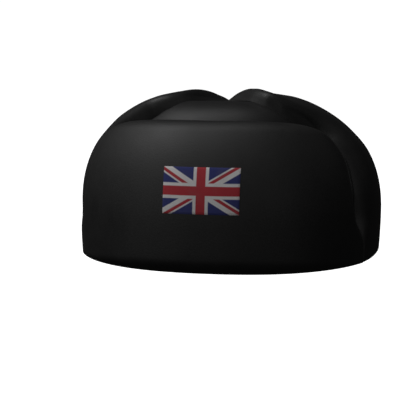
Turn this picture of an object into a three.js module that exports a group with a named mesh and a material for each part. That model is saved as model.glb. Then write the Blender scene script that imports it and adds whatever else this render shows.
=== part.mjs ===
// An ushanka: a round padded cap with a turned-up front flap, two ear flaps folded up over the crown
// until they meet on top, a nape flap behind, and a small sewn flag patch on the front.
// Millimetres, +Z up, front towards -Y, +X the wearer's left, origin at the middle of the rim it rests on.
import * as THREE from "three";
import { ParametricGeometry } from "three/addons/geometries/ParametricGeometry.js";
import { mergeVertices } from "three/addons/utils/BufferGeometryUtils.js";

// Driving dimensions. A shell is an oval dome: its half width, half depth and rise above the spring
// line, and the power of its side section. Below the spring line its wall stands straight.
const SPRING = 34; // height of the spring line, from which every dome's rays start
const PLAN_POWER = 2.3; // all the ovals are a little squarer than an ellipse
const CROWN = { across: 89, deep: 107, rise: 82, power: 3 };
const CROWN_WALL = 5; // cloth, wadding and lining, quilted together
const TURNED_UP = { across: 116.5, deep: 131, rise: 93.3, power: 2.33 }; // ear and nape flaps, outside
const FRONT = { across: 114, deep: 130, rise: 107, power: 2.14 }; // front flap, outside
const TOP_FALL = 0.153; // the whole top falls towards the back by this share of its height at the nape
const FRONT_PAD = { thickest: 25, blend: 3 }; // its bed follows the crown, then stays this far inside
const CLEARANCE = 0.5; // between a flap and what it lies on
const RIM_ROUND = { front: 11, back: 1.5 }; // radius of the flaps' outer edge at the rim
const PATCH = { wide: 54, high: 32.2, thick: 1.2, middle: 61, clear: 0.4, columns: 12, rows: 6 };

// The front flap's side edge at each level: its turn in degrees from straight ahead, and its radius.
const FRONT_SIDE = [
  { level: -20, turn: 66.0, round: 3 },
  { level: -11, turn: 65.0, round: 4 },
  { level: 0, turn: 62.5, round: 8 },
  { level: 12, turn: 61.0, round: 10 },
  { level: 20, turn: 59.5, round: 11 },
  { level: 25, turn: 56.0, round: 12 },
  { level: 29.5, turn: 51.0, round: 12 },
  { level: 33.2, turn: 40.0, round: 12 },
];
const FRONT_TOP = { level: 33.2, round: 12, stand: 0.5 };

// The ear flap's front border, from the rim up the side and over the crown: how far forward it
// reaches, the radius of its rolled edge, and how far off the crown that edge stands.
const EAR_FRONT = [
  { level: -20, forward: 23.7, round: 4, stand: 0.15 },
  { level: -8, forward: 26.0, round: 10, stand: 0.15 },
  { level: 0, forward: 28.5, round: 18, stand: 0.15 },
  { level: 12, forward: 31.0, round: 27, stand: 0.17 },
  { level: 23, forward: 31.5, round: 30, stand: 0.2 },
  { level: 34, forward: 30.5, round: 26, stand: 0.28 },
  { level: 44, forward: 31.5, round: 19, stand: 0.38 },
  { level: 53, forward: 35.5, round: 14, stand: 0.45 },
  { level: 59, forward: 36.3, round: 12, stand: 0.48 },
  { level: 65, forward: 35.0, round: 12, stand: 0.48 },
  { level: 72, forward: 29.5, round: 12, stand: 0.48 },
  { level: 80, forward: 21.0, round: 12, stand: 0.45 },
  { level: 90, forward: 14.0, round: 13, stand: 0.3 },
];
const EAR_TIP = { level: 89.8, round: 30, stand: 0.03 };
// The ear flap's back border: an upright seam with the nape flap, its turn from the side, up to the
// level of the bend, and then in over the crown to so many degrees behind the top.
const EAR_BACK = { turn: 35, bend: 50, back: 7, round: 5 };
const REACH_UNDER = 2.5; // how far past the ear flap's border the front flap's underside already lifts
// The nape flap's side seams, the level of its top edge behind and at the seams, and its edges.
const NAPE = { turn: 90 - EAR_BACK.turn, round: 4, stand: 0.15 };
const NAPE_TOP = { level: 30, atSeam: 38, liftPower: 3, round: 12, stand: 0.3 };

const LEATHER = { color: 0x101011, roughness: 0.6, metalness: 0 };
const PATCH_CLOTH = { color: 0x6a2a33, roughness: 0.85, metalness: 0 };

const RIM_LEVEL = -20; // levels below zero are heights under the spring line, those above are degrees
const CROWN_LEVELS = [RIM_LEVEL, RIM_LEVEL / 2, 0, 11, 22, 33, 43, 52, 60, 68, 75, 82, 90];
const COLUMNS = { crown: 44, ear: 24, front: 36, nape: 26 };
const STEPS = { ear: 15, front: 8, nape: 7 }; // from the spring line to the flap's top edge
const STEP_POWER = 1.4; // how much the steps shorten towards a flap's top edge
const RIM_STEPS = 4; // in the quarter circle at the rim
const SAME_SPOT = 1e-3; // points closer than this are one
const radians = (degrees) => (degrees * Math.PI) / 180;
const degrees = (angle) => (angle * 180) / Math.PI;
const mix = (a, b, share) => a + (b - a) * share;
const softMax = (a, b, soft) => (a + b + Math.hypot(a - b, soft)) / 2;
const SEAM_GAP = degrees(CLEARANCE / 2 / CROWN.across); // each side of the seam draws back by this turn

// A table's column at a level, eased from row to row so that it never overshoots.
function read(table, column, level) {
  const last = table.length - 1;
  const at = Math.max(1, table.findIndex((row) => row.level >= level));
  const [low, high] = level >= table[last].level ? [last - 1, last] : [at - 1, at];
  const slope = (i) => {
    const j = Math.min(Math.max(i, 0), last - 1);
    return (table[j + 1][column] - table[j][column]) / (table[j + 1].level - table[j].level);
  };
  const bend = (i) => {
    const [before, after] = [slope(i - 1), slope(i)];
    return before * after <= 0 ? 0 : (2 * before * after) / (before + after);
  };
  const step = table[high].level - table[low].level;
  const t = Math.min(Math.max((level - table[low].level) / step, 0), 1);
  const ends = mix(table[low][column], table[high][column], t * t * (3 - 2 * t));
  return ends + step * t * (1 - t) * ((1 - t) * bend(low) - t * bend(high));
}

// Where a ray starts and how it points. Below the spring line it starts at its own height and is
// level; above, it starts on the spring line and tilts by the level's degrees.
const footOf = (level) => SPRING * (1 - Math.min(level, 0) / RIM_LEVEL);
const tiltOf = (level) => radians(Math.max(level, 0));

// A ray by its turn from straight ahead, for the crown, the front flap and the nape flap.
function rayByTurn(turn, level) {
  const [a, b] = [radians(turn), tiltOf(level)];
  return new THREE.Vector3(Math.cos(b) * Math.sin(a), -Math.cos(b) * Math.cos(a), Math.sin(b));
}

// A ray of the right ear flap, by how far forward of the side it points: the level tips it over the top.
function rayByForward(forward, level) {
  const [a, b] = [radians(forward), tiltOf(level)];
  return new THREE.Vector3(Math.cos(a) * Math.cos(b), -Math.sin(a), Math.cos(a) * Math.sin(b));
}

// The length of a ray from its foot to a shell.
function reach(shell, ray) {
  const [across, deep] = [Math.abs(ray.x) / shell.across, Math.abs(ray.y) / shell.deep];
  const plan = across ** PLAN_POWER + deep ** PLAN_POWER;
  const side = plan ** (shell.power / PLAN_POWER) + (ray.z / shell.rise) ** shell.power;
  return side ** (-1 / shell.power);
}
// The height of a point on a dome, once the whole top has fallen towards the back.
const fallen = (y, height) => height * (1 - (TOP_FALL * y) / TURNED_UP.deep);
const onRay = (ray, level, length) =>
  ray.clone().multiplyScalar(length).setZ(footOf(level) + fallen(ray.y * length, ray.z * length));

// How full a rounded edge is at a distance from it: a quarter circle from 0 at the edge to 1.
const share = (distance, round) => Math.min(Math.max(distance / round, 0), 1);
const fullness = (distance, round) => Math.sqrt(1 - (1 - share(distance, round)) ** 2);
// How far the outer face draws in towards the rim. Its radius shrinks along the sides, from front to back.
function rimInset(ray, level) {
  const round = mix(RIM_ROUND.front, RIM_ROUND.back, share(ray.y + 0.5, 1));
  return round * (1 - fullness(footOf(level), round));
}

// The two faces of a padded flap on one ray: the bed is what it lies on, the crest its full height,
// and at its edge, where the fullness is 0, both faces meet at the stand's share of the thickness.
function faces(bed, crest, full, stand) {
  const [low, high] = [stand * (1 - full), stand + (1 - stand) * full];
  return { outer: mix(bed, crest, high), inner: mix(bed, crest, low) };
}

// Levels with the rim's quarter circle, the straight wall, and steps that shorten towards the top.
function levelsTo(top, steps) {
  const quarter = (i) => RIM_ROUND.front * (1 - Math.cos((Math.PI / 2) * (i / RIM_STEPS)));
  const arc = Array.from({ length: RIM_STEPS + 1 }, (_, i) => quarter(i));
  const wall = [...arc, (RIM_ROUND.front + SPRING) / 2, SPRING];
  const over = Array.from({ length: steps }, (_, i) => 1 - (1 - (i + 1) / steps) ** STEP_POWER);
  return [...wall.map((height) => RIM_LEVEL * (1 - height / SPRING)), ...over.map((part) => top * part)];
}

// A closed solid from a grid: the levels run up its outer face, down its inner face and back
// under the rim, and the columns run across it. place(across, level, face) gives a point.
function shellSolid(columns, levels, place) {
  const rows = levels.length;
  const point = (u, v, target) => {
    const row = Math.round(v * 2 * rows) % (2 * rows);
    const outer = row < rows;
    target.copy(place(u, levels[outer ? row : 2 * rows - 1 - row], outer ? "outer" : "inner"));
  };
  return closed(new ParametricGeometry(point, columns, 2 * rows));
}

// Merges the shared points, drops the triangles that have closed up, and turns the faces outwards.
function closed(geometry) {
  geometry.deleteAttribute("normal");
  geometry.deleteAttribute("uv");
  const merged = mergeVertices(geometry, SAME_SPOT);
  const spots = merged.getAttribute("position");
  const corner = (i) => new THREE.Vector3().fromBufferAttribute(spots, i);
  const kept = [];
  let volume = 0;
  for (let i = 0; i < merged.index.count; i += 3) {
    const [a, b, c] = [0, 1, 2].map((k) => merged.index.getX(i + k));
    if (a === b || b === c || a === c) continue;
    kept.push(a, b, c);
    volume += corner(a).dot(corner(b).cross(corner(c)));
  }
  if (volume < 0) kept.reverse();
  merged.setIndex(kept);
  merged.computeVertexNormals();
  return merged;
}

// Distance along the surface for a number of degrees of turn.
const along = (turn, length) => radians(turn) * length;
// Columns crowd towards both ends, where the edges are rounded.
const crowded = (across) => Math.sin((Math.PI / 2) * (2 * across - 1));

function crownGeometry() {
  const inside = {
    ...CROWN,
    across: CROWN.across - CROWN_WALL,
    deep: CROWN.deep - CROWN_WALL,
    rise: CROWN.rise - CROWN_WALL,
  };
  return shellSolid(COLUMNS.crown, CROWN_LEVELS, (across, level, face) => {
    const ray = rayByTurn(360 * (across % 1), level);
    return onRay(ray, level, reach(face === "outer" ? CROWN : inside, ray));
  });
}

// The ear flap's back border, in degrees forward of the side, so it is below zero. On the seam's upright
// plane, a level's tilt from the side becomes a smaller tilt along the plane itself.
function seamForward(level) {
  const tilt = Math.atan(Math.cos(radians(EAR_BACK.turn)) * Math.tan(tiltOf(level)));
  return -degrees(Math.asin(Math.sin(radians(EAR_BACK.turn)) * Math.cos(tilt)));
}
function earBack(level) {
  if (level <= EAR_BACK.bend) return seamForward(level);
  const past = share(level - EAR_BACK.bend, 90 - EAR_BACK.bend);
  return mix(seamForward(EAR_BACK.bend), -EAR_BACK.back, past * past * (3 - 2 * past));
}

// Both faces of an ear flap on a ray that points forward by some degrees at a level. A spread moves
// the front border outwards by that much.
function earFaces(forward, level, ray, spread = 0) {
  const bed = reach(CROWN, ray) + CLEARANCE;
  const crest = reach(TURNED_UP, ray) - rimInset(ray, level);
  const front = along(read(EAR_FRONT, "forward", level) - forward, crest) + spread;
  const back = along(forward - earBack(level), crest);
  const tip = along(EAR_TIP.level - level, crest) * Math.cos(radians(forward));
  const fromTip = share(tip, EAR_TIP.round);
  const full =
    fullness(front, read(EAR_FRONT, "round", level) + spread) *
    fullness(back, EAR_BACK.round) *
    Math.sin((Math.PI / 2) * fromTip);
  const stand = mix(EAR_TIP.stand, read(EAR_FRONT, "stand", level), fromTip);
  return { ...faces(bed, crest, full, stand), covers: front > 0 };
}

// An ear flap, with side 1 for the wearer's left one and -1 for the right one, its mirror image.
function earGeometry(side) {
  const levels = levelsTo(EAR_TIP.level, STEPS.ear);
  const grid = shellSolid(COLUMNS.ear, levels, (across, level, face) => {
    const place = (1 + crowded(across)) / 2;
    const forward = mix(earBack(level), read(EAR_FRONT, "forward", level), place);
    const ray = rayByForward(forward + SEAM_GAP * (1 - place), level);
    const { outer, inner } = earFaces(forward, level, ray);
    return onRay(ray, level, face === "outer" ? outer : inner);
  });
  return side > 0 ? grid : closed(grid.scale(-1, 1, 1));
}

// How far out the ear flap holds the front flap on one of the front flap's rays.
function earUnderFront(ray, level) {
  const forward = degrees(Math.asin(-ray.y));
  const tipped = level <= 0 ? level : degrees(Math.atan2(ray.z, Math.abs(ray.x)));
  const mirrored = new THREE.Vector3(Math.abs(ray.x), ray.y, ray.z);
  const { outer, covers } = earFaces(forward, tipped, mirrored, REACH_UNDER);
  return covers ? outer : 0;
}

function frontGeometry() {
  const levels = levelsTo(FRONT_TOP.level, STEPS.front);
  return shellSolid(COLUMNS.front, levels, (across, level, face) => {
    const half = read(FRONT_SIDE, "turn", level);
    const turn = half * crowded(across);
    const ray = rayByTurn(turn, level);
    const crest = reach(FRONT, ray) - rimInset(ray, level);
    const onCrown = softMax(reach(CROWN, ray) + CLEARANCE, crest - FRONT_PAD.thickest, FRONT_PAD.blend);
    const bed = Math.max(onCrown, earUnderFront(ray, level) + CLEARANCE);
    const side = along(half - Math.abs(turn), crest) * Math.cos(tiltOf(level));
    const top = along(FRONT_TOP.level - level, crest);
    const full = fullness(side, read(FRONT_SIDE, "round", level)) * fullness(top, FRONT_TOP.round);
    const stand = (FRONT_TOP.stand * Math.max(level, 0)) / FRONT_TOP.level;
    const { outer, inner } = faces(bed, crest, full, stand);
    return onRay(ray, level, face === "outer" ? outer : inner);
  });
}

// Above the spring line the nape flap's rows are shares of its top edge, which lifts at the seams.
function napeGeometry() {
  const half = NAPE.turn - SEAM_GAP;
  return shellSolid(COLUMNS.nape, levelsTo(1, STEPS.nape), (across, row, face) => {
    const turn = half * crowded(across);
    const lift = (Math.abs(turn) / NAPE.turn) ** NAPE_TOP.liftPower;
    const highest = mix(NAPE_TOP.level, NAPE_TOP.atSeam, lift);
    const level = row <= 0 ? row : row * highest;
    const ray = rayByTurn(180 - turn, level);
    const bed = reach(CROWN, ray) + CLEARANCE;
    const crest = reach(TURNED_UP, ray) - rimInset(ray, level);
    const side = along(half - Math.abs(turn), crest) * Math.cos(tiltOf(level));
    const top = along(highest - level, crest);
    const full = fullness(side, NAPE.round) * fullness(top, NAPE_TOP.round);
    const { outer, inner } = faces(bed, crest, full, mix(NAPE.stand, NAPE_TOP.stand, Math.max(row, 0)));
    return onRay(ray, level, face === "outer" ? outer : inner);
  });
}

// How far in front the front flap's outer face lies, at a place across and a height. The fall of the
// top depends on the answer, so it is worked out again a few times.
function frontFace(x, z) {
  const across = Math.abs(x) / FRONT.across;
  let y = -FRONT.deep;
  for (let attempt = 0; attempt < 4; attempt += 1) {
    const high = Math.max(z - SPRING, 0) / fallen(y, FRONT.rise);
    const plan = (1 - high ** FRONT.power) ** (PLAN_POWER / FRONT.power);
    y = -FRONT.deep * (plan - across ** PLAN_POWER) ** (1 / PLAN_POWER);
  }
  return y;
}

// A flat plate bent over the front flap, each point pushed out to stand clear of its face.
function patchGeometry() {
  const { wide, thick, high, columns, rows } = PATCH;
  const geometry = new THREE.BoxGeometry(wide, thick, high, columns, 1, rows);
  const spots = geometry.getAttribute("position");
  for (let i = 0; i < spots.count; i += 1) {
    const [x, behind, z] = [spots.getX(i), spots.getY(i), spots.getZ(i) + PATCH.middle];
    spots.setXYZ(i, x, frontFace(x, z) - PATCH.clear - thick / 2 + behind, z);
  }
  return closed(geometry);
}

function piece(name, geometry, finish) {
  const mesh = new THREE.Mesh(geometry, new THREE.MeshStandardMaterial(finish));
  mesh.name = name;
  return mesh;
}

const ushanka = new THREE.Group();
ushanka.name = "ushanka";
ushanka.add(piece("crown", crownGeometry(), LEATHER));
const flaps = new THREE.Group();
flaps.name = "flaps";
flaps.add(piece("front_flap", frontGeometry(), LEATHER));
flaps.add(piece("ear_flap_left", earGeometry(1), LEATHER));
flaps.add(piece("ear_flap_right", earGeometry(-1), LEATHER));
flaps.add(piece("nape_flap", napeGeometry(), LEATHER));
ushanka.add(flaps);
ushanka.add(piece("flag_patch", patchGeometry(), PATCH_CLOTH));

export default ushanka;
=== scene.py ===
"""An ushanka in soft black leather with a small flag patch, dressed round its CAD frame.

The front is towards -Y and +Z is up. The hat's shapes are worked out in millimetres and degrees, and are
scaled to metres once, in finished(). The studio, the materials and the frame are in metres.
"""
import math

import bmesh
import bpy
import numpy as np
from mathutils import Matrix, Vector


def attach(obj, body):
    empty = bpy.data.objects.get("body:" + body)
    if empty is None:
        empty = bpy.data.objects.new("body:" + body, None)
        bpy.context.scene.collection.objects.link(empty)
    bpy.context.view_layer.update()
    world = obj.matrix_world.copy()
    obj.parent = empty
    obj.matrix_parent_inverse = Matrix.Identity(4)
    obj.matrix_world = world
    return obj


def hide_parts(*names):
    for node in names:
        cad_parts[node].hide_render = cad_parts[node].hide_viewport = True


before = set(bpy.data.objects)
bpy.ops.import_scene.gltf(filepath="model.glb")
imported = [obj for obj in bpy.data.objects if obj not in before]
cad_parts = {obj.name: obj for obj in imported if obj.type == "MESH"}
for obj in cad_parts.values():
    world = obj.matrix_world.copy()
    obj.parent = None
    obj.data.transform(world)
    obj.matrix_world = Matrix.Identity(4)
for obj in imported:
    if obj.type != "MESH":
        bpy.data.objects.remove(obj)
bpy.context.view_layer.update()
MM = 0.001

# The camera, as in the photograph: where it stands, which way it looks, and its small roll.
CAMERA = {"place": (0.1643, -0.9817, 0.1618), "azimuth": 10.47, "elevation": 7.53, "roll": 0.39}
LENS = {"length": 108.5, "near": 0.05, "far": 50.0}

# The studio: how bright the white behind the hat and the dim room are, the floor, and the lamps with their
# places and watts.
BACKDROP = 1.05
ROOM = 0.013
FLOOR_HALF = 6.0
FLOOR_GLOW = 1.15
LAMP_SIDE = 1.0
LAMP_AIM = (0, 0, 0.06)
LAMPS = {
    "Key_light": ((-1.27, -0.46, 1.79), 12.3),
    "Key_light_front": ((-0.96, -0.96, 1.79), 5.2),
    "Top_light": ((0.0, -0.38, 2.23), 6.6),
    "Left_light": ((-1.88, 0.33, 1.16), 1.9),
    "Low_left_light": ((-1.54, -1.54, 0.37), 1.9),
    "Low_front_light": ((-0.75, -2.05, 0.37), 1.3),
    "Low_right_light": ((1.39, -1.66, 0.44), 1.5),
    "Right_light": ((1.9, 0.17, 1.16), 0.5),
}

# The shells: domes on an upright wall that ends at the spring line. Each has half its width and half its
# depth, its height over the spring line and the power of its side section. Lean is the share of its width
# and of its depth that is gone at the top. Egg is the share by which it is wider behind and narrower in
# front. The whole top falls towards the back.
SPRING = 34.0
PLAN_POWER = 2.3
CROWN = {"across": 89.0, "deep": 107.0, "rise": 80.4, "power": 9.5, "lean": (0.5, 0.4), "egg": 0.0}
TURNED_UP = {"across": 116.5, "deep": 131.0, "rise": 93.0, "power": 2.32, "lean": (0, 0), "egg": 0.06}
FRONT = {"across": 114.4, "deep": 130.0, "rise": 107.0, "power": 2.16, "lean": (0, 0), "egg": 0.0}
TOP_FALL = 0.153

# The crown's wall, in two layers, and the room that each flap leaves to what it lies on.
CROWN_WALL = 5.0
SKIN = CROWN_WALL / 2
LAYER_GAP = 0.02
CLEARANCE = 0.5
SEAM_GAP = math.degrees(CLEARANCE / 2 / CROWN["across"])

# The rim's rounding: its radius in front and behind, and between which Y of a ray's direction it changes.
# Above it the wall tapers in a little on its way down.
RIM_ROUND = {"front": 12.0, "back": 1.0, "from": -0.98, "to": -0.4}
RIM_TAPER = 1.2

# The flaps' borders by level: -20 at the rim, 0 at the spring line, and a ray's degrees of tilt above it.
# Turn is in degrees from straight ahead and forward in degrees from the side. Round is the width over which
# a pad's edge rises, and stand the share of the pad's depth that the edge starts with.
RIM_LEVEL = -20.0
FRONT_SIDE = {
    "level": (-20, -11, 0, 12, 20, 25, 29.5, 33.2),
    "turn": (67, 66.5, 64.5, 63.5, 62.5, 59, 52.5, 40),
    "round": (2, 4, 20, 30, 30, 26, 19, 12),
}
FRONT_TOP = {"level": 33.2, "round": 12.0, "stand": 0.5}
FRONT_PAD = {"thickest": 25.0, "blend": 3.0}
NAPE = {"turn": 55.0, "round": 4.0, "stand": 0.15}
NAPE_TOP = {"level": 30.0, "at_seam": 38.0, "lift_power": 3.0, "round": 12.0, "stand": 0.3}

# The ear flaps' front borders. The pad rolls up there by a share of its reach, falls by another share behind
# the roll, and its outer face comes up from the crown over a slope.
EAR_FRONT = {
    "level": (-20, -8, 0, 12, 23, 34, 44, 53, 59, 65, 72, 80, 90),
    "forward": (23.7, 26, 28, 29.8, 29.8, 30.4, 36.2, 39.8, 41.4, 41.4, 38.6, 30.8, 20),
    "round": (4, 10, 18, 27, 30, 26, 24, 21, 19, 18, 17, 15, 12),
    "stand": (0.15, 0.15, 0.15, 0.17, 0.2, 0.26, 0.31, 0.34, 0.37, 0.4, 0.4, 0.36, 0.3),
    "roll": (0, 0, 0, 0, 0, 0.02, 0.046, 0.061, 0.069, 0.073, 0.069, 0.053, 0.014),
    "slope": (0, 1, 4.5, 6.5, 8, 9, 8, 4.6, 3.4, 3.8, 5.5, 6, 0),
    "fall": (0, 0, 0, 0, 0, 0.008, 0.008, 0.006, 0.008, 0.018, 0.024, 0.02, 0),
}
# How the two differ: the border is less far forward on the wearer's left and as much further on the right,
# and only the left one's slope is changed.
UNEVEN = {
    "level": (0, 30, 44, 72, 90),
    "forward": (0, 0, 1.7, 1.7, 0),
    "slope": (0, 0, 5.5, -2, 0),
}
# The roll's width, the level from which it takes over from the plain edge, over how many levels it does so,
# and the least power and least slope of its shoulder.
ROLL = {"wide": 30.0, "from": 28.0, "ease": 14.0, "least_steep": 2.0, "least_slope": 0.5}
# The slope from which the pad's inner face lies on the crown, and the least one that is divided by.
FULL_SLOPE = 1.0
HARDLY = 0.01
EAR_TIP = {"level": 89.8, "round": 30.0, "stand": 0.03}
# The back border: an upright plane at a turn from the side, up to a bend, and then eased in over the crown.
EAR_BACK = {"turn": 35.0, "bend": 50.0, "back": 7.0, "round": 5.0}
# How far the ear flap is widened where it holds up the front flap, and how far in its underside rounds off.
REACH_UNDER = 2.5
UNDERCUT = 1.5

# The flag patch: its size, its middle's height, its distance from the flap, and how its edge is rounded off.
PATCH = {"wide": 54.0, "high": 32.2, "thick": 1.2, "middle": 60.1, "clear": 0.4}
PATCH_EDGE = {"round": 1.0, "start": 0.15, "drop": 0.5}
FACE_ROUNDS = 6

# The flag's pattern in sixtieths of its width: the half widths of its crosses and white slants, the width of
# its red slants, and how softly they are printed. Then the length of one wave of each weave, in metres.
FLAG = {"wide": 60, "high": 36, "white_cross": 6.0, "red_cross": 3.6, "white_slant": 3.6, "red_slant": 2.4}
PRINT_SOFT = 0.35
TWILL = 0.0006
LINING_THREAD = 0.0011

# The colours, as red, green, blue and cover.
WHITE = (1, 1, 1, 1)
LEATHER_DARK = (0.0105, 0.0105, 0.0108, 1)
LEATHER_LIGHT = (0.0145, 0.0143, 0.0142, 1)
LEATHER_WORN = (0.018, 0.0178, 0.0175, 1)
LINING_DARK = (0.018, 0.018, 0.020, 1)
LINING_LIGHT = (0.028, 0.028, 0.031, 1)
# A lighter colour painted onto the lining's raised threads: a painted sheen.
LINING_PAINTED_SHEEN = (0.036, 0.036, 0.040, 1)
FLAG_BLUE = (0.027, 0.037, 0.185, 1)
FLAG_WHITE = (0.86, 0.84, 0.84, 1)
FLAG_RED = (0.50, 0.030, 0.044, 1)
FLAG_FADED = (0.20, 0.17, 0.17, 1)
FLAG_THREAD = (0.035, 0.03, 0.033, 1)
FLOOR_DARK = (0.86, 0.86, 0.86, 1)
FLOOR_LIGHT = (0.90, 0.90, 0.90, 1)

# How finely each surface is drawn, and how its mesh is cleaned.
COLUMNS = {"crown": 176, "ear": 112, "front": 150, "nape": 104, "patch": 60}
STEPS = {"crown_wall": 9, "crown": 44, "ear": 60, "front": 34, "nape": 30, "patch": 36}
RIM_STEPS = 10
WALL_STEPS = 6
STEP_POWER = 1.4
SHARP = math.radians(48)
SAME_SPOT = 2e-6
NO_SIZE = 1e-7


def mix(a, b, share):
    """The value a share of the way from a to b."""
    return a + (b - a) * share


def soft_max(a, b, soft):
    """The larger of two values, with the corner between them rounded off."""
    return (a + b + np.hypot(a - b, soft)) / 2


def share_of(distance, length):
    """How much of a length a distance covers, from 0 to 1."""
    return np.clip(distance / length, 0, 1)


def eased(share):
    """A share from 0 to 1 that starts and ends level: three times its square less twice its cube."""
    return share * share * (3 - 2 * share)


def swell(share):
    """The sine of a share of a right angle, from 0 to 1."""
    return np.sin(math.pi / 2 * share)


def fullness(distance, radius):
    """A quarter circle: 0 at a padded edge, rising to 1 at its radius."""
    return np.sqrt(1 - (1 - share_of(distance, radius)) ** 2)


def shoulder(distance, radius, stand, slope):
    """An eased rise to 1 that carries on from a straight flank, as steep where it starts as the flank is."""
    flank = np.maximum(slope, ROLL["least_slope"])
    steep = np.maximum(stand / (1 - stand) * radius / flank, ROLL["least_steep"])
    return 1 - (1 - share_of(distance, radius)) ** steep


def read(table, column, level):
    """A table's column at each level, on cubics.

    Their slope at a row is the harmonic mean of the slopes before and after it, or 0 at a peak or a dip.
    """
    rows = np.array(table["level"], float)
    value = np.array(table[column], float)
    slope = np.diff(value) / np.diff(rows)
    before = np.concatenate([slope[:1], slope])
    after = np.concatenate([slope, slope[-1:]])
    both = before * after
    bend = np.where(both > 0, 2 * both / np.where(both > 0, before + after, 1), 0)
    at = np.clip(np.searchsorted(rows, level, side="left") - 1, 0, len(slope) - 1)
    step = rows[at + 1] - rows[at]
    t = np.clip((level - rows[at]) / step, 0, 1)
    ends = mix(value[at], value[at + 1], eased(t))
    return ends + step * t * (1 - t) * ((1 - t) * bend[at] - t * bend[at + 1])


def foot_of(level):
    """The height that a ray starts from: its own height below the spring line, and the spring line above."""
    return SPRING * (1 - np.minimum(level, 0) / RIM_LEVEL)


def tilt_of(level):
    """How far a ray tilts up: level below the spring line, and by the level's degrees above it."""
    return np.radians(np.maximum(level, 0))


def ray_by_turn(turn, level):
    """A direction by its turn from straight ahead and its tilt."""
    turned, tilted = np.radians(turn), tilt_of(level)
    flat = np.cos(tilted)
    return np.stack([flat * np.sin(turned), -flat * np.cos(turned), np.sin(tilted)], axis=-1)


def ray_by_forward(forward, level):
    """A direction by how far forward of the side it points, tipped over the top by the level."""
    ahead, tilted = np.radians(forward), tilt_of(level)
    sideways = np.cos(ahead)
    return np.stack([sideways * np.cos(tilted), -np.sin(ahead), sideways * np.sin(tilted)], axis=-1)


def reach(shell, ray):
    """A ray's length to a dome that is a superellipse in plan and another one in its side section.

    The plan draws in by the lean times the square of the ray's rise, and its width grows towards the back by
    the egg times the cube of what the ray's rise leaves of 1.
    """
    lean_across, lean_deep = shell["lean"]
    x, y, z = ray[..., 0], ray[..., 1], ray[..., 2]
    across = shell["across"] * (1 - lean_across * z**2) * (1 + shell["egg"] * y * (1 - z) ** 3)
    deep = shell["deep"] * (1 - lean_deep * z**2)
    plan = ((np.abs(x) / across) ** PLAN_POWER + (np.abs(y) / deep) ** PLAN_POWER) ** (1 / PLAN_POWER)
    side = plan ** shell["power"] + (z / shell["rise"]) ** shell["power"]
    return side ** (-1 / shell["power"])


def fallen(y, height):
    """A height above the spring line once the whole top has fallen towards the back."""
    return height * (1 - TOP_FALL * y / TURNED_UP["deep"])


def on_ray(ray, level, length):
    """The point a length along each ray from its foot, with the fall of the top."""
    spot = ray * length[..., None]
    height = foot_of(level) + fallen(spot[..., 1], spot[..., 2])
    return np.stack([spot[..., 0], spot[..., 1], height], axis=-1)


def rim_inset(ray, level):
    """How far the outer face draws in towards the rim: a slow taper and a quarter circle, smaller behind."""
    backward = share_of(ray[..., 1] - RIM_ROUND["from"], RIM_ROUND["to"] - RIM_ROUND["from"])
    radius = mix(RIM_ROUND["front"], RIM_ROUND["back"], backward)
    taper = RIM_TAPER * (1 - foot_of(level) / SPRING) ** 2
    return taper + radius * (1 - fullness(foot_of(level), radius))


def faces(bed, crest, full, under, stand):
    """A pad's outer and inner lengths on a ray: at its edge both meet at the stand's share of its depth."""
    return mix(bed, crest, stand + (1 - stand) * full), mix(bed, crest, stand * (1 - under))


def levels_to(top, steps):
    """Levels that crowd round the rim's quarter circle, run up the wall and crowd again at the top edge."""
    arc = RIM_ROUND["front"] * (1 - np.cos(np.linspace(0, math.pi / 2, RIM_STEPS + 1)))
    wall = np.linspace(RIM_ROUND["front"], SPRING, WALL_STEPS + 1)[1:]
    over = 1 - (1 - np.linspace(0, 1, steps + 1)[1:]) ** STEP_POWER
    return np.concatenate([RIM_LEVEL * (1 - np.concatenate([arc, wall]) / SPRING), top * over])


def crowded(count):
    """Places from -1 to 1 that crowd towards both ends, as a sine does."""
    return swell(np.linspace(-1, 1, count + 1))


def along(turn, length):
    """The distance along a surface for a number of degrees at a length from the middle."""
    return np.radians(turn) * length


def finished(name, spots, quads, wear=None):
    """A smooth piece from points in millimetres and its faces, with doubles merged and faces outwards."""
    mesh = bpy.data.meshes.new(name)
    mesh.from_pydata((spots.reshape(-1, 3) * MM).tolist(), [], quads.tolist())
    if wear is not None:
        rubbed = mesh.attributes.new("wear", "FLOAT", "POINT")
        rubbed.data.foreach_set("value", wear.ravel().astype(np.float32))
    shape = bmesh.new()
    shape.from_mesh(mesh)
    loose = [spot for spot in shape.verts if not spot.link_faces]
    bmesh.ops.delete(shape, geom=loose, context="VERTS")
    bmesh.ops.remove_doubles(shape, verts=shape.verts, dist=SAME_SPOT)
    bmesh.ops.dissolve_degenerate(shape, edges=shape.edges, dist=NO_SIZE)
    bmesh.ops.recalc_face_normals(shape, faces=shape.faces)
    if shape.calc_volume(signed=True) < 0:
        bmesh.ops.reverse_faces(shape, faces=shape.faces)
    shape.to_mesh(mesh)
    shape.free()
    mesh.shade_smooth()
    mesh.set_sharp_from_angle(angle=SHARP)
    piece = bpy.data.objects.new(name, mesh)
    bpy.context.scene.collection.objects.link(piece)
    return piece


def quads_of(number):
    """The four-sided faces of a grid of point numbers."""
    corners = [number[:-1, :-1], number[:-1, 1:], number[1:, 1:], number[1:, :-1]]
    return np.stack(corners, axis=-1).reshape(-1, 4)


def wrapped(name, outer, inner, loop=False, wear=None):
    """A closed piece from its outer and inner face, two grids from the rim up whose side borders meet.

    They are joined at the rim and at the top. With loop, the last column is the first one again.
    """
    spots = np.concatenate([outer, inner[::-1]])
    rows, columns = spots.shape[:2]
    number = np.arange(rows * columns).reshape(rows, columns)
    if loop:
        number[:, -1] = number[:, 0]
    return finished(name, spots, quads_of(np.concatenate([number, number[:1]])), wear)


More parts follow.
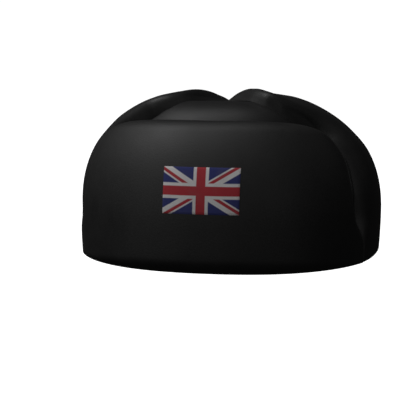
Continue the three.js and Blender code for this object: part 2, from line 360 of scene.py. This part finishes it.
def plate(name, outer, inner):
    """A closed piece from two grids of the same size, joined round their four edges."""
    spots = np.stack([outer, inner])
    near, far = np.arange(spots[..., 0].size).reshape(spots.shape[:3])
    edge = np.concatenate([near[0], near[1:, -1], near[-1, -2::-1], near[-2:0:-1, 0]])
    after = np.roll(edge, -1)
    sides = np.stack([edge, edge + near.size, after + near.size, after], axis=-1)
    return finished(name, spots, np.concatenate([quads_of(near), quads_of(far[:, ::-1]), sides]))


def pad(name, ray, level, lengths, full, side=1):
    """A flap between its outer and inner lengths on each ray, worn at its edges. Side -1 mirrors it."""
    outer, inner = (on_ray(ray, level, length) * (side, 1, 1) for length in lengths)
    return wrapped(name, outer, inner, wear=np.concatenate([1 - full, (1 - full)[::-1]]))


def crown_dome(inset):
    """The crown's outer surface drawn in by some millimetres."""
    return {**CROWN, **{side: CROWN[side] - inset for side in ("across", "deep", "rise")}}


def crown_layer(name, outside, inside):
    """One layer of the crown's wall: a closed dome between two of its surfaces, open below."""
    turn = np.linspace(0, 360, COLUMNS["crown"] + 1)[None, :]
    wall = np.linspace(RIM_LEVEL, 0, STEPS["crown_wall"] + 1)
    dome = np.linspace(0, 90, STEPS["crown"] + 1)[1:]
    level = np.concatenate([wall, dome])[:, None] + 0 * turn
    ray = ray_by_turn(turn, level)
    outer, inner = (on_ray(ray, level, reach(crown_dome(inset), ray)) for inset in (outside, inside))
    return wrapped(name, outer, inner, loop=True)


def seam_forward(level):
    """The ear flap's back border, as degrees forward of the side, on an upright plane at a fixed turn."""
    turn = math.radians(EAR_BACK["turn"])
    tilt = np.arctan(math.cos(turn) * np.tan(tilt_of(level)))
    return -np.degrees(np.arcsin(math.sin(turn) * np.cos(tilt)))


def ear_back(level):
    """The whole back border: the upright seam up to the bend, then eased in over the crown."""
    past = share_of(level - EAR_BACK["bend"], 90 - EAR_BACK["bend"])
    over = mix(seam_forward(EAR_BACK["bend"]), -EAR_BACK["back"], eased(past))
    return np.where(level <= EAR_BACK["bend"], seam_forward(np.minimum(level, EAR_BACK["bend"])), over)


def ear_edge(level, side):
    """The front border, as degrees forward of the side, a little less of them on the wearer's left."""
    return read(EAR_FRONT, "forward", level) - side * read(UNEVEN, "forward", level)


def ear_faces(forward, level, ray, side, spread=0.0):
    """An ear flap's outer and inner lengths, how full it is, and whether it covers the ray.

    From the crown the outer face comes up the slope to the roll and on over its shoulder to the turned-up
    shell, and it ends in a quarter circle at the back seam and a swell at the tip.
    """
    bed = reach(CROWN, ray) + CLEARANCE
    crest = reach(TURNED_UP, ray) - rim_inset(ray, level)
    front = along(ear_edge(level, side) - forward, crest) + spread
    behind = swell(share_of(front, ROLL["wide"])) ** 2
    crest = crest * (1 + mix(read(EAR_FRONT, "roll", level), -read(EAR_FRONT, "fall", level), behind))
    back = along(forward - ear_back(level), crest)
    tip = along(EAR_TIP["level"] - level, crest) * np.cos(np.radians(forward))
    from_tip = share_of(tip, EAR_TIP["round"])
    ends = fullness(back, EAR_BACK["round"]) * swell(from_tip)
    stand = mix(EAR_TIP["stand"], read(EAR_FRONT, "stand", level), from_tip)
    slope = read(EAR_FRONT, "slope", level) + np.maximum(side, 0) * read(UNEVEN, "slope", level)
    radius = read(EAR_FRONT, "round", level) + spread
    past_slope = front - slope
    rolled = share_of(level - ROLL["from"], ROLL["ease"])
    full = mix(fullness(past_slope, radius), shoulder(past_slope, radius, stand, slope), rolled) * ends
    under = fullness(front, UNDERCUT + spread) * ends
    outer, inner = faces(bed, crest, full, under, stand)
    rising = np.where(slope > 0, share_of(front, np.maximum(slope, HARDLY)), 1)
    lengths = mix(bed, outer, rising), mix(inner, bed, share_of(slope, FULL_SLOPE))
    return lengths, full, front > 0


def ear_pad(name, side):
    """An ear flap folded up over the crown, for the wearer's left with side 1 and the right with -1."""
    place = (1 + crowded(COLUMNS["ear"])[None, :]) / 2
    level = levels_to(EAR_TIP["level"], STEPS["ear"])[:, None] + 0 * place
    forward = mix(ear_back(level), ear_edge(level, side), place)
    ray = ray_by_forward(forward + SEAM_GAP * (1 - place), level)
    lengths, full, _ = ear_faces(forward, level, ray, side)
    return pad(name, ray, level, lengths, full, side)


def ear_under_front(ray, level):
    """How far out the ear flap holds the front flap on each of its rays."""
    forward = np.degrees(np.arcsin(-ray[..., 1]))
    tipped = np.where(level <= 0, level, np.degrees(np.arctan2(ray[..., 2], np.abs(ray[..., 0]))))
    side = np.where(ray[..., 0] < 0, -1, 1)
    (outer, _), _, covers = ear_faces(forward, tipped, ray, side, REACH_UNDER)
    return np.where(covers, outer, 0)


def front_pad(name):
    """The front flap turned up over the forehead, lying on the crown and over the ear flaps' borders."""
    place = crowded(COLUMNS["front"])[None, :]
    level = levels_to(FRONT_TOP["level"], STEPS["front"])[:, None] + 0 * place
    half = read(FRONT_SIDE, "turn", level)
    turn = half * place
    ray = ray_by_turn(turn, level)
    crest = reach(FRONT, ray) - rim_inset(ray, level)
    on_crown = soft_max(reach(CROWN, ray) + CLEARANCE, crest - FRONT_PAD["thickest"], FRONT_PAD["blend"])
    bed = np.maximum(on_crown, ear_under_front(ray, level) + CLEARANCE)
    side = along(half - np.abs(turn), crest) * np.cos(tilt_of(level))
    top = along(FRONT_TOP["level"] - level, crest)
    full = fullness(side, read(FRONT_SIDE, "round", level)) * fullness(top, FRONT_TOP["round"])
    stand = FRONT_TOP["stand"] * np.maximum(level, 0) / FRONT_TOP["level"]
    return pad(name, ray, level, faces(bed, crest, full, full, stand), full)


def nape_pad(name):
    """The nape flap turned up behind, between the ear flaps, its top edge lifting towards the seams."""
    place = crowded(COLUMNS["nape"])[None, :]
    row = levels_to(1.0, STEPS["nape"])[:, None] + 0 * place
    half = NAPE["turn"] - SEAM_GAP
    turn = half * place
    lift = (np.abs(turn) / NAPE["turn"]) ** NAPE_TOP["lift_power"]
    highest = mix(NAPE_TOP["level"], NAPE_TOP["at_seam"], lift)
    level = np.where(row <= 0, row, row * highest)
    ray = ray_by_turn(180 - turn, level)
    bed = reach(CROWN, ray) + CLEARANCE
    crest = reach(TURNED_UP, ray) - rim_inset(ray, level)
    side = along(half - np.abs(turn), crest) * np.cos(tilt_of(level))
    top = along(highest - level, crest)
    full = fullness(side, NAPE["round"]) * fullness(top, NAPE_TOP["round"])
    stand = mix(NAPE["stand"], NAPE_TOP["stand"], np.maximum(row, 0))
    return pad(name, ray, level, faces(bed, crest, full, full, stand), full)


def front_face(x, z):
    """How far in front the front flap's outer face lies at each place across and each height.

    The fall of the top depends on the answer, so it is worked out a few times over, each from the last.
    """
    across = np.abs(x) / FRONT["across"]
    y = np.full_like(x, -FRONT["deep"])
    for _ in range(FACE_ROUNDS):
        high = np.maximum(z - SPRING, 0) / fallen(y, FRONT["rise"])
        plan = (1 - high ** FRONT["power"]) ** (PLAN_POWER / FRONT["power"])
        y = -FRONT["deep"] * (plan - across**PLAN_POWER) ** (1 / PLAN_POWER)
    return y


def flag_cloth(name):
    """The patch: a rectangle bent over the front flap, a cloth's thickness deep, its outer edge rounded."""
    x = np.linspace(-0.5, 0.5, COLUMNS["patch"] + 1)[None, :] * PATCH["wide"]
    z = np.linspace(-0.5, 0.5, STEPS["patch"] + 1)[:, None] * PATCH["high"]
    x, z = x + 0 * z, z + 0 * x
    edge = np.minimum(PATCH["wide"] / 2 - np.abs(x), PATCH["high"] / 2 - np.abs(z))
    height = z + PATCH["middle"]
    back = front_face(x, height) - PATCH["clear"]
    rounding = 1 - fullness(edge + PATCH_EDGE["start"], PATCH_EDGE["round"])
    face = back - PATCH["thick"] * (1 - PATCH_EDGE["drop"] * rounding)
    return plate(name, np.stack([x, face, height], axis=-1), np.stack([x, back, height], axis=-1))


class Wire:
    """An output socket that can stand in sums: each operator adds one Math node."""

    def __init__(self, finish, socket):
        self.finish = finish
        self.socket = socket

    def maths(self, operation, *values):
        """The result of a Math node's operation on some values."""
        return self.finish.add("ShaderNodeMath", {"operation": operation}, dict(enumerate(values)))[0]

    def __add__(self, other):
        return self.maths("ADD", self, other)

    __radd__ = __add__

    def __sub__(self, other):
        return self.maths("SUBTRACT", self, other)

    def __rsub__(self, other):
        return self.maths("SUBTRACT", other, self)

    def __mul__(self, other):
        return self.maths("MULTIPLY", self, other)

    __rmul__ = __mul__

    def __abs__(self):
        return self.maths("ABSOLUTE", self)

    def __or__(self, other):
        return self.maths("MAXIMUM", self, other)

    def sign(self):
        """-1 below 0 and 1 above it."""
        return self.maths("SIGN", self)

    def wave(self, length):
        """The sine of the value, with one wave in a length."""
        turned = self * (2 * math.pi / length)
        return turned.maths("SINE", turned)

    def ramp(self, low, high):
        """0 below low and 1 above high, eased between them. Low above high turns it round."""
        settings = {"interpolation_type": "SMOOTHSTEP"}
        return self.finish.add("ShaderNodeMapRange", settings, {0: self, 1: low, 2: high})[0]

    def between(self, low, high):
        """1 where the value lies between two others, with soft edges."""
        over_low = self.ramp(low - PRINT_SOFT, low + PRINT_SOFT)
        return over_low * self.ramp(high + PRINT_SOFT, high - PRINT_SOFT)

    def within(self, half):
        """1 where the value lies less than half away from 0, with soft edges."""
        return abs(self).ramp(half + PRINT_SOFT, half - PRINT_SOFT)

    def spread(self, wide):
        """A share from 0 to 1 turned into a change of this width, as much up as down."""
        return (self - 0.5) * wide


class Node:
    """A node whose outputs are picked by name or number."""

    def __init__(self, finish, node):
        self.finish = finish
        self.node = node

    def __getitem__(self, output):
        return Wire(self.finish, self.node.outputs[output])


class Finish:
    """The nodes of a material or a world, as they are put together."""

    def __init__(self, owner):
        self.owner = owner
        owner.use_nodes = True
        self.tree = owner.node_tree
        self.tree.nodes.clear()

    def add(self, kind, settings=None, sockets=None):
        """Any node, from its type, then its settings, then the values or links of its sockets."""
        node = self.tree.nodes.new(kind)
        for setting, value in (settings or {}).items():
            setattr(node, setting, value)
        for socket, value in (sockets or {}).items():
            if isinstance(value, Wire):
                self.tree.links.new(value.socket, node.inputs[socket])
            else:
                node.inputs[socket].default_value = value
        return Node(self, node)

    def place(self):
        """Object coordinates."""
        return self.add("ShaderNodeTexCoord")["Object"]

    def axes(self):
        """Object coordinates, one axis at a time."""
        apart = self.add("ShaderNodeSeparateXYZ", {}, {0: self.place()})
        return apart[0], apart[1], apart[2]

    def noise(self, size, detail):
        """Noise from 0 to 1 with features of about this size in metres."""
        sockets = {"Vector": self.place(), "Scale": 1 / size, "Detail": detail}
        return self.add("ShaderNodeTexNoise", {}, sockets)["Fac"]

    def cells(self, size):
        """The distance to the nearest of scattered points, in cells of about this size in metres."""
        return self.add("ShaderNodeTexVoronoi", {}, {"Vector": self.place(), "Scale": 1 / size})["Distance"]

    def blend(self, share, first, second):
        """A colour between two, by a share."""
        return self.add("ShaderNodeMix", {"data_type": "RGBA"}, {0: share, 6: first, 7: second})[2]

    def bump(self, height, depth, strength, under=None):
        """A bumped normal from a height from 0 to 1 and its depth in metres."""
        sockets = {"Strength": strength, "Distance": depth, "Height": height}
        if under is not None:
            sockets["Normal"] = under
        return self.add("ShaderNodeBump", {}, sockets)["Normal"]

    def close(self, **sockets):
        """Ends a material in one Principled shader."""
        named = {name.replace("_", " "): value for name, value in sockets.items()}
        shader = self.add("ShaderNodeBsdfPrincipled", {}, named)
        self.add("ShaderNodeOutputMaterial", {}, {"Surface": shader["BSDF"]})
        return self.owner


def material(name):
    """An empty material to be put together."""
    return Finish(bpy.data.materials.new(name))


def black_leather():
    """Soft black leather: a fine pebbled grain, broad soft variation, and polish at its rubbed edges."""
    finish = material("Black_leather")
    worn = finish.add("ShaderNodeAttribute", {"attribute_name": "wear"})["Fac"]
    broad = finish.noise(size=0.045, detail=2.0)
    middle = finish.noise(size=0.009, detail=3.0)
    pebbles = finish.cells(size=0.0013).ramp(0.1, 0.75)
    pores = finish.noise(size=0.0005, detail=2.0)
    tone = (broad * 0.6 + middle * 0.4).ramp(0.3, 0.7)
    colour = finish.blend(tone, LEATHER_DARK, LEATHER_LIGHT)
    colour = finish.blend(worn * 0.25, colour, LEATHER_WORN)
    rough = 0.56 + broad.spread(0.12) + middle.spread(0.08) - worn * 0.05
    soft = finish.bump(broad, depth=0.0006, strength=0.25)
    grain = finish.bump(pebbles * 0.75 + pores * 0.25, depth=0.00008, strength=0.5, under=soft)
    return finish.close(Base_Color=colour, Roughness=rough, Normal=grain)


def lining_cloth():
    """Plain matt black lining: a fine crossed weave with a little unevenness, its raised threads painted
    lighter as a painted sheen.
    """
    finish = material("Black_lining")
    x, y, z = finish.axes()
    broad = finish.noise(size=0.03, detail=2.0)
    weave = (x + y).wave(LINING_THREAD) * z.wave(LINING_THREAD) * 0.5 + 0.5
    colour = finish.blend(broad, LINING_DARK, LINING_LIGHT)
    # Painted sheen: the colour is lighter where the weave's threads stand highest.
    colour = finish.blend(weave * 0.35, colour, LINING_PAINTED_SHEEN)
    normal = finish.bump(weave, depth=0.00015, strength=0.6)
    return finish.close(Base_Color=colour, Roughness=0.86 + broad.spread(0.12), Normal=normal)


def flag_weave():
    """The flag on its patch: slanting and straight bars on a ground, in fine twill, with a cloudy fade."""
    finish = material("Flag_cloth")
    x, _, z = finish.axes()
    across = x * (FLAG["wide"] / (PATCH["wide"] * MM))
    up = (z - PATCH["middle"] * MM) * (FLAG["high"] / (PATCH["high"] * MM))
    corner = math.hypot(FLAG["wide"], FLAG["high"])
    steep, flat = FLAG["high"] / corner, FLAG["wide"] / corner
    rising = across * steep + up * flat
    falling = up * flat - across * steep
    side = across.sign()
    white_slants = rising.within(FLAG["white_slant"]) | falling.within(FLAG["white_slant"])
    red_rising, red_falling = ((slant * side).between(0, FLAG["red_slant"]) for slant in (rising, falling))
    colour = finish.blend(white_slants, FLAG_BLUE, FLAG_WHITE)
    colour = finish.blend(red_rising | red_falling, colour, FLAG_RED)
    for half, paint in ((FLAG["white_cross"], FLAG_WHITE), (FLAG["red_cross"], FLAG_RED)):
        colour = finish.blend(across.within(half) | up.within(half), colour, paint)
    cloud = finish.noise(size=0.016, detail=3.0)
    weave = (x + z).wave(TWILL) * 0.35 + (x - z).wave(TWILL) * 0.15 + 0.5
    colour = finish.blend(cloud.ramp(0.45, 0.8) * 0.22, colour, FLAG_FADED)
    colour = finish.blend(weave * 0.18, colour, FLAG_THREAD)
    normal = finish.bump(weave, depth=0.00012, strength=0.6)
    return finish.close(Base_Color=colour, Roughness=0.84 + cloud.spread(0.16), Normal=normal)


def floor_paint():
    """A plain near-white floor with the faintest unevenness, which glows so that it is as pale far off."""
    finish = material("Pale_floor")
    colour = finish.blend(finish.noise(size=0.4, detail=1.0), FLOOR_DARK, FLOOR_LIGHT)
    glow = {"Emission_Color": colour, "Emission_Strength": FLOOR_GLOW}
    return finish.close(Base_Color=colour, Roughness=0.9, **glow)


def make_camera():
    """Stands the camera at the photograph's place, turned and rolled as in the photograph."""
    azimuth, elevation, roll = (math.radians(CAMERA[key]) for key in ("azimuth", "elevation", "roll"))
    flat = math.cos(elevation)
    back = Vector((math.sin(azimuth) * flat, -math.cos(azimuth) * flat, math.sin(elevation)))
    level = Vector((math.cos(azimuth), math.sin(azimuth), 0))
    upright = back.cross(level)
    right = level * math.cos(roll) + upright * math.sin(roll)
    up = upright * math.cos(roll) - level * math.sin(roll)
    lens = bpy.data.cameras.new("Camera")
    lens.lens = LENS["length"]
    lens.clip_start = LENS["near"]
    lens.clip_end = LENS["far"]
    camera = bpy.data.objects.new("Camera", lens)
    bpy.context.scene.collection.objects.link(camera)
    turned = Matrix((right, up, back)).transposed().to_4x4()
    camera.matrix_world = Matrix.Translation(CAMERA["place"]) @ turned
    bpy.context.scene.camera = camera


def softbox(name, place, watts):
    """A soft square light without shadows, aimed at the middle of the hat."""
    lamp = bpy.data.lights.new(name, "AREA")
    lamp.shape = "SQUARE"
    lamp.size = LAMP_SIDE
    lamp.energy = watts
    lamp.use_shadow = False
    light = bpy.data.objects.new(name, lamp)
    bpy.context.scene.collection.objects.link(light)
    light.location = place
    light.rotation_mode = "QUATERNION"
    light.rotation_quaternion = (Vector(LAMP_AIM) - Vector(place)).to_track_quat("-Z", "Y")
    light.visible_camera = False


def make_studio():
    """A white backdrop that only the camera sees, a dim room, and soft boxes round the hat."""
    world = bpy.data.worlds.new("Studio")
    bpy.context.scene.world = world
    air = Finish(world)
    seen = air.add("ShaderNodeLightPath")["Is Camera Ray"]
    room, shown = (air.add("ShaderNodeBackground", {}, {"Color": WHITE, "Strength": strength})["Background"]
                   for strength in (ROOM, BACKDROP))
    both = air.add("ShaderNodeMixShader", {}, {0: seen, 1: room, 2: shown})["Shader"]
    air.add("ShaderNodeOutputWorld", {}, {"Surface": both})
    for name, (place, watts) in LAMPS.items():
        softbox(name, place, watts)


def lay_floor():
    """A wide floor at the height of the rim, which only the camera sees, so that it lights nothing."""
    mesh = bpy.data.meshes.new("Floor")
    half = FLOOR_HALF
    corners = [(-half, -half, 0), (half, -half, 0), (half, half, 0), (-half, half, 0)]
    mesh.from_pydata(corners, [], [(0, 1, 2, 3)])
    mesh.materials.append(floor_paint())
    floor = bpy.data.objects.new("Floor", mesh)
    bpy.context.scene.collection.objects.link(floor)
    floor.visible_diffuse = False
    floor.visible_glossy = False


def dress(piece, finish, node):
    """Gives a piece its material and its body, and hides the CAD node that it stands for."""
    piece.data.materials.append(finish)
    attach(piece, "root")
    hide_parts(node)
    return piece


make_camera()
leather = black_leather()
crown = dress(crown_layer("Crown_leather", 0, SKIN), leather, "crown")
lining = dress(crown_layer("Crown_lining", SKIN + LAYER_GAP, CROWN_WALL), lining_cloth(), "crown")
front = dress(front_pad("Front_flap_pad"), leather, "front_flap")
left = dress(ear_pad("Left_ear_pad", 1), leather, "ear_flap_left")
right = dress(ear_pad("Right_ear_pad", -1), leather, "ear_flap_right")
nape = dress(nape_pad("Nape_flap_pad"), leather, "nape_flap")
patch = dress(flag_cloth("Flag_cloth_patch"), flag_weave(), "flag_patch")
make_studio()
lay_floor()
bpy.context.scene.view_settings.view_transform = "Standard"
